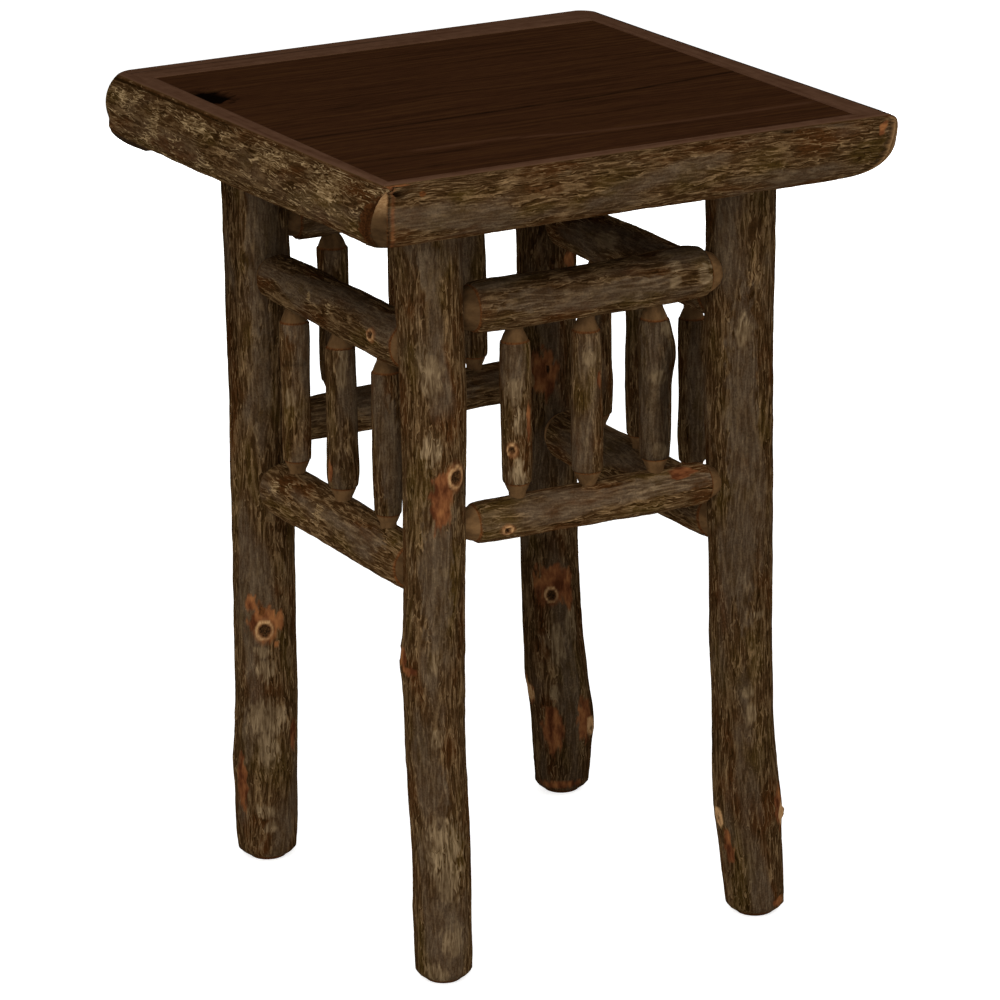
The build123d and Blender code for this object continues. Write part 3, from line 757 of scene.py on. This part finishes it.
# ---- edging of the top -------------------------------------------------------------------
# Four poles sawn lengthwise, glued and dowelled to the panel's edges, bark outside. They are
# planed flush with the panel and mitred, and the corners and top edges are sanded round; only
# the left back corner keeps its bark.
shoulder_width = 5.0               # sanded slope between the planed strip and the bark
shoulder_drop = 1.3
flat_columns = 5                   # mesh across the planed strip, as across its shoulder
glued_columns = 3
spare = 0.8                        # bark relief beyond the sawn outline
edging = {                         # going round anticlockwise: outwards, planed widths from start to end, grey side of wear and painted sheen, golden flakes
    "edge_log_front": ((0, -1), (3.0, 4.5, 5.0, 5.5, 9.0), 125, 0.0),   # end, weathered side, golden flakes
    "edge_log_right": ((1, 0), (22.0, 20.5, 18.5, 17.0, 16.5), 120, 0.0),
    "edge_log_back": ((0, 1), (40.0, 38.5, 37.5, 37.0, 36.0), 120, 0.0),
    "edge_log_left": ((-1, 0), (14.0, 11.0, 9.0, 6.5, 3.0), 100, 0.28),
}
# How round the corner is at which each of these logs begins: at the top, more lower down, over
# what depth, and the height below which it is square again. Then the depth of sanding that
# bares the wood there.
corner_round = [(0.5, 4.0, 40.0, 0.0), (5.5, 21.0, 16.0, 0.0), (16.0, 12.0, 15.0, 0.0),
                (17.0, 16.0, 12.0, 586.0)]
corner_bared = [0.35, -0.75, 1.2, 99.0]
squared_over = 18.0
facet = (0.5, 0.866, 1.10)         # the front corner is also sawn off flat, across the left log's end
facet_low = 606.0                  # below this height the flat leans in
facet_painted_highlight = (616, 632)            # between these heights it turns paler with a painted highlight
left_taper = 0.27
joint_depth = 0.7
crack_out = 25.0
redder_round = (48, 64)            # this far round, the front and left logs' bark turns redder
burnt_until = (0.93, 0.97)         # shares of the way to the log's end over which the burnt edge
butt_from = (0.94, 0.98)           # of the right log stops and the smooth butt of the back log begins
butt_low, butt_out, butt_height = 600.0, 26.0, 24.5   # the back log's butt shows under the left log's end
dense_rows, dense_reach = 0.8, 34.0
edging_marks = {
    "edge_log_front": [
        ("bare", -200, 2, 2.6, 6.0), ("hole", -204, 50, 5.0, 6.0), ("hole", 118, 24, 2.0, 6.0),
        ("bare", -202, 18, 3.0, 7.5), ("rim", -186, 60, 2.6, 2.8), ("bare", 203.5, 42, 7, 3.2),
        ("rim", 205, 8, 3, 5), ("bare", 196, 196, 5, 6),
    ],
    "edge_log_right": [
        ("lichen", 90, 60, 9, 13), ("gold", 30, 75, 10, 16), ("bare", -66, 88, 9, 13),
        ("knot", -72, 92, 5.0, 6.5), ("lichen", -150, 50, 7, 10),
    ],
    "edge_log_back": [
        ("lichen", 130, 60, 9, 12), ("gold", -30, 70, 10, 22), ("bare", 62, 86, 9, 12),
        ("knot", 56, 92, 5.0, 6.5), ("lichen", -130, 75, 9, 14),
    ],
    "edge_log_left": [
        ("rim", 216, 90, 30, 8.0), ("dark", 216, 90, 36, 9.5), ("dark", 216, 90, 36, 9.5),
        ("gold", -214, 55, 12, 11), ("gold", -178, 45, 8, 9), ("gold", -120, 75, 14, 9),
        ("gold", -60, 40, 6, 22), ("gold", 60, 50, 9, 30), ("gold", 150, 50, 14, 26),
    ],
}
panel_low, panel_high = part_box("top_board_1")[0] / MM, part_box("top_board_5")[1] / MM
panel_half = (panel_high.x - panel_low.x) / 2
panel_centre = np.array([(panel_low.x + panel_high.x) / 2, (panel_low.y + panel_high.y) / 2])
top_height = panel_high.z


def strip_material(name, along_axis):
    """Planed hickory, stained walnut: faint grain along the log, a little paler where sanding
    has rubbed the stain at the outer edge, and dark where the sander has burnt it."""
    on = Shading(name, {"Roughness": 0.5, **clear_matt})
    grain = on.noise(on.squeezed(on.place, only(along_axis, 0.06)), 4, 4.0)
    mottle = on.noise(on.place, 9, 3.0)
    tone = on.ramp(on.between(0.6, mottle, grain), (0.34, "#482f20"), (0.66, "#5c4130"))
    parts = add(on.tree, "ShaderNodeSeparateXYZ", {0: on.place}).outputs
    rubbed = on.fade(parts["Z"], top_height - shoulder_drop, top_height)
    colour = on.mix(rubbed, tone, linear("#614534"))
    colour = on.mix(on.mask("burnt"), colour, linear(burnt_brown))
    if along_axis == 0:                            # a fine crack runs along part of the back log
        beside = on.calc("SUBTRACT", parts["Y"], (panel_high.y + crack_out) * MM, clamp=False)
        narrow = on.fade(on.calc("ABSOLUTE", beside), 0.3, 1.1, 0.75)
        crack = on.scaled(narrow, on.fade(parts["X"], 5, 45))
        colour = on.mix(crack, colour, linear("#1c110a"))
    return on.finish(colour)


stained_strips = [strip_material(f"hickory_planed_walnut_stain_satin_lacquer_{'xy'[k]}", k) for k in (0, 1)]


def half_round(node, axis):
    """Heart and radius of a half log, in millimetres: outwards from the panel's edge, and up."""
    points, corners = solid_points(node)
    level = (points[:, axis].min() + points[:, axis].max()) / 2 + panel_half / 3
    ring = slice_points(points, corners, axis, level)
    outwards = np.abs(ring[:, 1 - axis] - panel_centre[1 - axis]) - panel_half
    curved = (outwards > 0.2) & (ring[:, 2] < top_height - 0.2)
    return fit_circle(np.c_[outwards, ring[:, 2]][curved])


def bark_arc(heart, radius, strip, part):
    """Angle and radius about the heart, along the bark from the sanded shoulder (part 0) round
    to the glued face (part 1), for these widths of the planed strip."""
    rise, reach = top_height - shoulder_drop - heart[1], strip + shoulder_width - heart[0]
    first, last = np.arctan2(rise, reach), -math.pi / 2 - math.asin(heart[0] / radius * 0.999)
    angle = first + (last - first) * part
    return angle, radius + (np.hypot(rise, reach) - radius) * np.clip(angle / first, 0, 1) ** 2


def outline_at(height, heart, radius, strip):
    """How far out the sawn and sanded half log reaches at this height."""
    angle, size = bark_arc(heart, radius, strip, np.linspace(0, 1, 60))
    above = angle > -math.pi / 2
    slope = np.linspace(0, 1, 6)[:-1]
    out = np.r_[strip + shoulder_width * slope, (heart[0] + size * np.cos(angle))[above]]
    up = np.r_[top_height - shoulder_drop * slope ** 2, (heart[1] + size * np.sin(angle))[above]]
    return np.interp(height, up[::-1], out[::-1])


def corner_ease(corner, height):
    """Radius of a rounded corner at this height."""
    at_top, more, depth, square = corner_round[corner]
    ease = at_top + more * (1 - np.exp(-np.maximum(top_height - height, 0) / depth))
    return ease * soft_step(height, square, square + squared_over) + 0.5


def round_corner(a, b, far_a, far_b, ease):
    """Moves points that lie beyond a rounded corner onto it, and says how far each one moved."""
    past_a, past_b = a - (far_a - ease), b - (far_b - ease)
    reach = np.hypot(past_a, past_b)
    beyond = (past_a > 0) & (past_b > 0)
    pull = np.where(beyond & (reach > ease), ease / np.maximum(reach, 1e-6), 1.0)
    return (np.where(past_b > 0, far_a - ease + past_a * pull, np.minimum(a, far_a)),
            far_b - ease + past_b * pull, np.where(beyond, reach - ease, -99.0))


logs = list(edging)
hearts = {node: half_round(node, 1 if edging[node][0][0] else 0) for node in logs}
for number, (node, (outward, strip_widths, wear_and_sheen_side, flakes)) in enumerate(edging.items()):
    axis = 1 if outward[0] else 0
    heart, radius = hearts[node]
    inner = panel_half - dense_reach
    nearby = np.linspace(inner, panel_half, round(dense_reach / dense_rows) + 1)
    middle_rows = np.linspace(-inner, inner, round(2 * inner / row_length) + 1)
    share = (np.r_[-nearby[::-1], middle_rows[1:-1], nearby] / panel_half)[:, None]
    strip = np.interp(share, np.linspace(-1, 1, len(strip_widths)), strip_widths)
    arc_columns = round(2.6 * radius / column_width)
    angle, size = bark_arc(heart, radius, strip, np.linspace(0, 1, arc_columns + 1)[None, :])
    steps = [np.diff(f, axis=1, prepend=f[:, :1]) for f in (size * np.cos(angle), size * np.sin(angle))]
    around = np.cumsum(np.hypot(*steps), axis=1)
    along_log = share * (panel_half + heart[0] + size * np.cos(angle))
    girth = around.mean(0)[-1] * 1.5
    seed = 2000 + 60 * number
    roughness = 1.1 + 0.9 * line(around, 11)
    relief, found = grow_bark(around, along_log, girth, seed, roughness, wear_and_sheen_side)
    relief, found = mark_bark(relief, found, around, along_log, girth, edging_marks[node], seed)
    if number in (0, 3):                           # the lower bark of these two is redder
        found["tint"] *= 1 - 0.8 * soft_step(around, *redder_round)
    if flakes:
        patchy = (ripple(around, along_log, girth, 17, 24, seed + 41)
                  + 0.5 * ripple(around, along_log, girth, 7, 9, seed + 42))
        raise_mask(found, "gold", np.clip(flakes + 0.55 * patchy, 0, 1))
        found["worn_and_sheen"] *= 0.4
        found["lichen"] *= 0
        relief = relief + 0.3 * found["gold"]
    from_edge = np.minimum(around, around[:, -1:] - around)
    relief = np.minimum(relief * soft_step(from_edge, 0, 5) - 0.6 * (1 - soft_step(from_edge, 0, 2.5)), spare)
    raise_mask(found, "rim", 0.2 * (1 - soft_step(around, 0.6, 1.8)))
    if number == 3:                                # a furrow along its bark, towards the left back corner
        furrow = line(around - 2.2, 1.5) * soft_step(-share, -0.1, 0.35)
        relief = relief - 1.4 * furrow
        for mask in ("ridge", "rim", "gold"):
            found[mask] *= 1 - furrow
    size = size + relief

    # The planed strip and its sanded shoulder come before the bark, the glued face after it.
    flat = np.linspace(0, 1, flat_columns + 1)[None, :-1]
    glued = np.linspace(0, 1, glued_columns + 1)[None, 1:]
    up = np.minimum(heart[1] + size * np.sin(angle), top_height)
    out = np.maximum(heart[0] + size * np.cos(angle), 0)
    out = np.hstack([strip * flat, strip + shoulder_width * flat, out, 0 * (share + glued)])
    up = np.hstack([top_height + 0 * strip * flat, top_height - shoulder_drop * flat ** 2 + 0 * strip,
                    up, up[:, -1:] + (top_height - up[:, -1:]) * glued])
    beside = ((0, 0), (2 * flat_columns, glued_columns))
    for mask in masks:
        found[mask] = np.pad(found[mask], beside, constant_values=of_wood(mask))
    if number == 1:                                # the outer edge of this strip is burnt dark by the sander
        found["burnt"][:, 2 * flat_columns - 4:2 * flat_columns] = 1 - soft_step(share, *burnt_until)

    # The mitre runs where the outlines of this log and its neighbour cross.
    if number == 3:                                # this log is less deep towards the front
        taper = 1 - left_taper * soft_step(share, -0.6, 1)
        up = np.where(up < heart[1], heart[1] - (heart[1] - up) * taper, up)
    under = np.pad(angle < -math.pi / 2, beside)
    ends = []
    for near_number, near_end, corner, side in ((number - 1, -1, number, -1), (number + 1, 0, number + 1, 1)):
        near = logs[near_number % 4]
        own_strip, near_strip = strip_widths[-1 - near_end], edging[near][1][near_end]
        past = outline_at(up, *hearts[near], near_strip)
        past = np.where(under, out * hearts[near][0][0] / max(heart[0], 1), past)
        past[:, :flat_columns] = out[:, :flat_columns] * near_strip / own_strip
        past[:, -glued_columns:] = 0
        if number == 2 and side == 1:              # the butt, which is smooth, and darker with painted shade under the left log's end
            butt = butt_out * np.sqrt(np.clip(1 - ((butt_low - up) / butt_height) ** 2, 0, 1))
            past = np.where((up < butt_low) & (out > heart[0]), np.maximum(past, butt), past)
            smooth = soft_step(share, *butt_from) * soft_step(butt_low - up, 0, 4)
            raise_mask(found, "worn_and_sheen", smooth)
            found["tone"] *= 1 - 0.4 * smooth
            found["ridge"] += (0.35 - found["ridge"]) * smooth
        ends.append((near, own_strip, near_strip, corner % 4, side, past))
    to_start, to_end = [panel_half + end[-1] for end in ends]
    along_log = (to_end * (1 + share) - to_start * (1 - share)) / 2

    # Sanding a corner round takes the bark off where it reaches deeper than the bark is thick.
    for near, own_strip, near_strip, corner, side, past in ends:
        reach_past = np.maximum(outline_at(up, *hearts[near], near_strip), past) + spare
        reach_out = outline_at(up, heart, radius, own_strip) + spare
        past = side * along_log - panel_half
        if corner == 0 and number == 0:            # rounded off below
            up = up + 2.5 * soft_step(past, 10, 26) * soft_step(heart[1] - up, 0, 20)
        past, out, sanded = round_corner(past, out, reach_past, reach_out, corner_ease(corner, up))
        if corner == 0:
            share_past, share_out = facet[:2] if number == 0 else facet[1::-1]
            front_reach = reach_out if number == 0 else reach_past
            reach = front_reach * (facet[2] - 0.05 * soft_step(facet_low - up, 0, 24))
            over = share_past * past + share_out * out - reach
            if number == 0:                        # a dark joint and a rim of inner bark beside the flat
                found["tone"] *= 1 - 0.6 * line(over + 0.4, 0.45)
                raise_mask(found, "bare", 0.6 * line(over + 1.8, 0.8))
                out = out - joint_depth * line(over + 0.4, 0.5)
            over = np.maximum(over, 0)
            found["tone"] *= 1 - 0.38 * soft_step(over, 0, 0.5)
            # painted highlight on the flat near its top
            raise_mask(found, "callus_and_highlight", 0.8 * soft_step(up, *facet_painted_highlight) * soft_step(over, 0, 0.5))
            past = past - over * share_past
            out = out - over * share_out
            sanded = np.maximum(sanded, 0) + over
        if corner == 1:                            # pale growth rings in bare wood, and a dark line beside it
            found["tone"] *= (1 + 0.3 * soft_step(sanded, -0.5, 0.1)) * (1 - 0.5 * line(sanded + 0.6, 0.3))
            raise_mask(found, "callus_and_highlight", 0.25 * line(sanded - 0.5, 0.4) + 0.3 * line(sanded - 3.2, 0.6))
        past_bark = sanded - corner_bared[corner]
        touched = soft_step(sanded, 0, 0.15)
        raise_mask(found, "cut", soft_step(past_bark, 0, 0.3))
        raise_mask(found, "rim", 0.8 * touched * line(past_bark + 0.1, 0.3))
        found["ridge"] *= 1 - touched * line(past_bark + 0.5, 0.25)
        along_log = side * (past + panel_half)
    forward = np.array([-outward[1], outward[0]])
    plan = panel_centre + (panel_half + out)[..., None] * np.array(outward) + along_log[..., None] * forward
    mesh = sheet_to_piece(f"{node}_bark", node, np.dstack([plan, up]), found, bark_along[axis]).data
    mesh.materials.append(stained_strips[axis])
    sawn = mesh.attributes["cut"].data
    for face in mesh.polygons:
        on_top = face.center.z > (top_height - shoulder_drop) * MM
        if on_top and all(sawn[k].value > 0.5 for k in face.vertices):
            face.material_index = 1

# ---- top boards --------------------------------------------------------------------------
# Five boards glued edge to edge, planed and sanded, stained dark walnut and lacquered. The
# grain runs the length of the boards; one has a black knot at its left end.
board_mesh = 2.0
seam_ease = 0.12
board_knot = (-180.6, 107.5, 12.5, 21.0)   # its place in x and y, and its size
board_knot_depth = 2.2
grain_streaks = {                  # course of single dark and pale streaks: x, y, width, strength
    "dark": [([-190, -104, 68, 196], [-53.5, -54.5, -49.5, -32.5], 2.2, 1.0),
             ([-187, -103], [-139.5, -145], 2.0, 0.8), ([-187, -131], [-179.5, -176.5], 1.8, 0.7),
             ([-119, -103], [20, 21], 1.8, 0.8)],
    "pale": [([-127, -62, 12, 94, 187], [-129.5, -130.5, -147.5, -153, -152], 3.0, 1.0)],
}

on = Shading("hickory_board_walnut_stain_satin_lacquer", {"Roughness": 0.45, **clear_matt})
course = on.sway(on.place, 90, (0, 12, 0))
rings = on.noise(on.squeezed(course, only(0, 0.035)), 5, 3.0)
pores = on.noise(on.squeezed(course, only(0, 0.12)), 1.3, 2.0)
colour = on.ramp(on.between(0.35, rings, pores), (0.36, "#2b180c"), (0.64, "#3f2714"), (0.5, "#361f11"))
for name, shade in (("dark", "#170c06"), ("pale", "#4a3020"), ("knot", "#080402")):
    colour = on.mix(on.mask(name), colour, linear(shade))
stained_board = on.finish(colour, pores, 0.25, 0.15)


def board_ripple(x, y, cell, run, seed):
    """Smooth random relief that doesn't repeat within the panel."""
    return ripple(x + 400, y, 2000, cell, run, seed)


for number in range(1, 6):
    node = f"top_board_{number}"
    low, high = (np.array(corner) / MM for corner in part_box(node))
    size = high - low
    mesh = grid_mesh(f"{node}_planed", round(size[0] / board_mesh), round(size[1] / board_mesh))
    places = np.empty(len(mesh.vertices) * 3)
    mesh.vertices.foreach_get("co", places)
    x, y, _ = (places.reshape(-1, 3) * size + (low + high) / 2).T
    seam = np.minimum(y - low[1], high[1] - y)
    wave = 0.05 * board_ripple(x, y, 60, 9, 40 + number)
    from_knot = np.hypot((x - board_knot[0]) / board_knot[2], (y - board_knot[1]) / board_knot[3])
    in_knot = np.clip(1.35 + 0.5 * board_ripple(x, y, 7, 7, 71) - from_knot, 0, 0.55) / 0.55
    z = top_height + wave - seam_ease * (1 - soft_step(seam, 0, 1.2)) - board_knot_depth * in_knot
    mesh.vertices.foreach_set("co", (np.c_[x, y, np.minimum(z, top_height)] * MM).astype(np.float32).ravel())
    fleck = 0.75 + 0.5 * board_ripple(x, y, 18, 2.5, 90)
    for kind, streaks in grain_streaks.items():
        mask = np.zeros(len(x))
        for run_x, run_y, width, strength in streaks:
            outside = np.clip(np.maximum(run_x[0] - x, x - run_x[-1]) / 12, 0, 1)
            beside = line(y - np.interp(x, run_x, run_y), width)
            mask = np.maximum(mask, strength * beside * (1 - outside) * fleck)
        store_mask(mesh, kind, mask)
    store_mask(mesh, "knot", in_knot)
    bm = bmesh.new()
    bm.from_mesh(mesh)
    rim = bmesh.ops.extrude_edge_only(bm, edges=[e for e in bm.edges if e.is_boundary])["geom"]
    for vertex in (v for v in rim if isinstance(v, bmesh.types.BMVert)):
        vertex.co.z = low[2] * MM
    bmesh.ops.holes_fill(bm, edges=[e for e in bm.edges if e.is_boundary], sides=0)
    bmesh.ops.recalc_face_normals(bm, faces=bm.faces)
    bm.to_mesh(mesh)
    bm.free()
    finish_piece(mesh, node, stained_board)

# ---- cleats, dowels and screws -----------------------------------------------------------
# These keep the shape of their solids. The cleats are sawn hickory, stained but not lacquered,
# the dowels plain beech rod, and the screws zinc-plated steel with a dull shine.
def plain_material(name, dark, pale, scale, roughness, metallic=0.0):
    """Plain wood or metal, a little streaked."""
    on = Shading(name, {"Roughness": roughness, "Metallic": metallic})
    streak = on.noise(on.squeezed(on.place, scale), 3, 3.0)
    return on.finish(on.mix(streak, linear(dark), linear(pale)))


sawn_cleat = plain_material("hickory_sawn_walnut_stain_matt", "#33200f", "#553a20", (1.0, 0.04, 1.0), 0.7)
dowel_rod = plain_material("beech_dowel_unfinished", "#9c7f58", "#b99c72", (0.3, 0.3, 1.0), 0.7)
screw_steel = plain_material("zinc_plated_steel_dull", "#8e9092", "#a6a8aa", (1.0, 1.0, 1.0), 0.35, 1.0)
plain_nodes = {"cleat_left": sawn_cleat, "cleat_right": sawn_cleat, "edge_dowels": dowel_rod,
               "cleat_screws": screw_steel}
for node, made in plain_nodes.items():
    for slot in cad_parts[node].material_slots:
        slot.material = made
